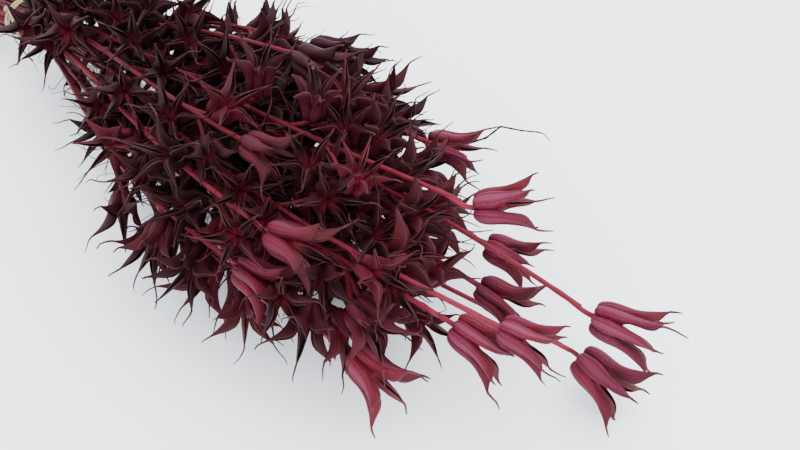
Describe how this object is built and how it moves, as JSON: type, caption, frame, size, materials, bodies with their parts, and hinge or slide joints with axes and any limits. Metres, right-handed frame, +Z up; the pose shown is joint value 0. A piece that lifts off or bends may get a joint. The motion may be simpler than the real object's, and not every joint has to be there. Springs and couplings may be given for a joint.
{
  "type": "bunch of dried nigella seed pods",
  "caption": "Tied bunch of dyed dried nigella stems with horned, star-mouthed seed pods, lying on its side for display.",
  "frame": {"origin": "on the surface that the bunch lies on, under the middle of its outline", "axes": "+X along the bunch from the cut stem ends to the pods, +Z up from the surface"},
  "size_m": [0.6012, 0.1899, 0.1174],
  "materials": {
    "dyed_pod_and_stem": "dry, dyed burgundy, matt with a faint sheen on ribs",
    "raffia": "dry straw-coloured raffia, satin"
  },
  "bodies": {
    "root": {"stem_with_pods_01": "dyed_pod_and_stem", "stem_with_pods_02": "dyed_pod_and_stem", "stem_with_pods_03": "dyed_pod_and_stem", "stem_with_pods_04": "dyed_pod_and_stem", "stem_with_pods_05": "dyed_pod_and_stem", "stem_with_pods_06": "dyed_pod_and_stem", "stem_with_pods_07": "dyed_pod_and_stem", "stem_with_pods_08": "dyed_pod_and_stem", "stem_with_pods_09": "dyed_pod_and_stem", "stem_with_pods_10": "dyed_pod_and_stem", "stem_with_pods_11": "dyed_pod_and_stem", "stem_with_pods_12": "dyed_pod_and_stem", "stem_with_pods_13": "dyed_pod_and_stem", "stem_with_pods_14": "dyed_pod_and_stem", "stem_with_pods_15": "dyed_pod_and_stem", "stem_with_pods_16": "dyed_pod_and_stem", "stem_with_pods_17": "dyed_pod_and_stem", "stem_with_pods_18": "dyed_pod_and_stem", "stem_with_pods_19": "dyed_pod_and_stem", "stem_with_pods_20": "dyed_pod_and_stem", "stem_with_pods_21": "dyed_pod_and_stem", "stem_with_pods_22": "dyed_pod_and_stem", "stem_with_pods_23": "dyed_pod_and_stem", "stem_with_pods_24": "dyed_pod_and_stem", "tie": "raffia"}
  },
  "joints": []
}
